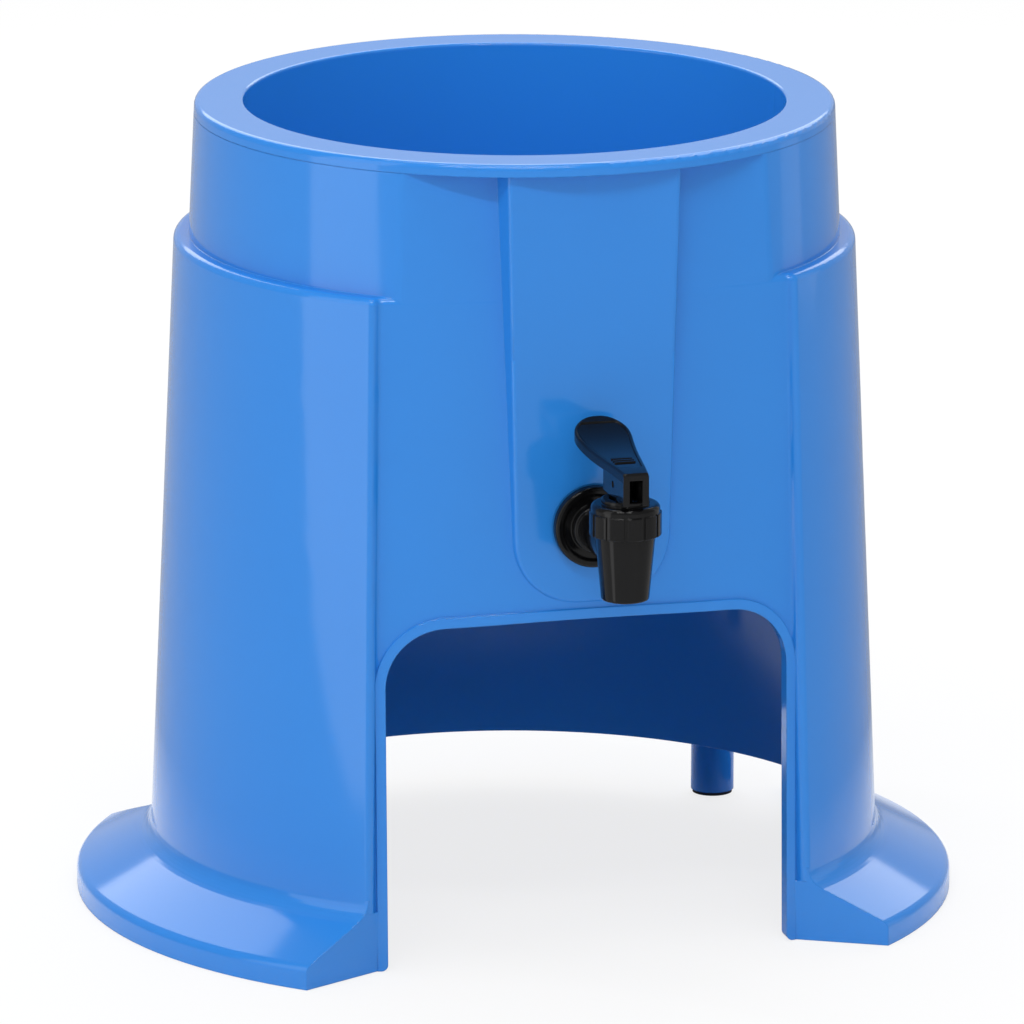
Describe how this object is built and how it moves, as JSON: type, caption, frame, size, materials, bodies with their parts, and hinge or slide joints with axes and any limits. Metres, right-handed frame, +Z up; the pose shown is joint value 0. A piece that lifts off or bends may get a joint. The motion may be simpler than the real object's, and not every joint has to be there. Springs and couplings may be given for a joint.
{
  "type": "water dispenser",
  "caption": "Free-standing plastic dispenser with an open bowl for an upturned water bottle and a self-closing lever tap over a cup arch.",
  "frame": {"origin": "centre of the part's footprint box at floor level, which lies 18.6 mm in front of the stand's own axis", "axes": "+Z up, -Y to the front where the tap is, +X to the right-hand foot"},
  "size_m": [0.394, 0.3643, 0.36],
  "materials": {
    "stand_blue": "moulded blue polypropylene with a soft sheen",
    "foot_rubber": "moulded black rubber",
    "washer_rubber": "moulded black rubber",
    "cup_rubber": "soft grey silicone",
    "tap_black": "moulded glossy black",
    "nut_black": "moulded black",
    "stem_black": "moulded black, fine satin",
    "spring_steel": "drawn stainless wire"
  },
  "bodies": {
    "stand": {"base_moulding": "stand_blue", "left_rear_pad": "foot_rubber", "right_rear_pad": "foot_rubber", "tap_body": "tap_black", "outer_washer": "washer_rubber", "inner_washer": "washer_rubber", "shank_nut": "nut_black", "bonnet": "tap_black", "stem_spring": "spring_steel"},
    "stem": {"stem": "stem_black", "seat_cup": "cup_rubber"},
    "lever": {"lever": "tap_black", "lever_pin": "stem_black"}
  },
  "joints": [
    {"name": "stem_lift", "type": "slide", "parent": "stand", "child": "stem", "axis": [0, 0, 1], "range_m": [0, 0.0042], "deforming": ["stem_spring"]},
    {"name": "lever_hinge", "type": "hinge", "parent": "stem", "child": "lever", "pos_m": [0, -0.16537, 0.2283], "axis": [1, 0, 0], "range_deg": [0, 20], "stiffness_Nm_per_rad": 0.4, "springref_deg": -11.46}
  ],
  "couplings": [
    {"joint": "lever_hinge", "follows": "stem_lift", "rad_per_m": 83}
  ]
}
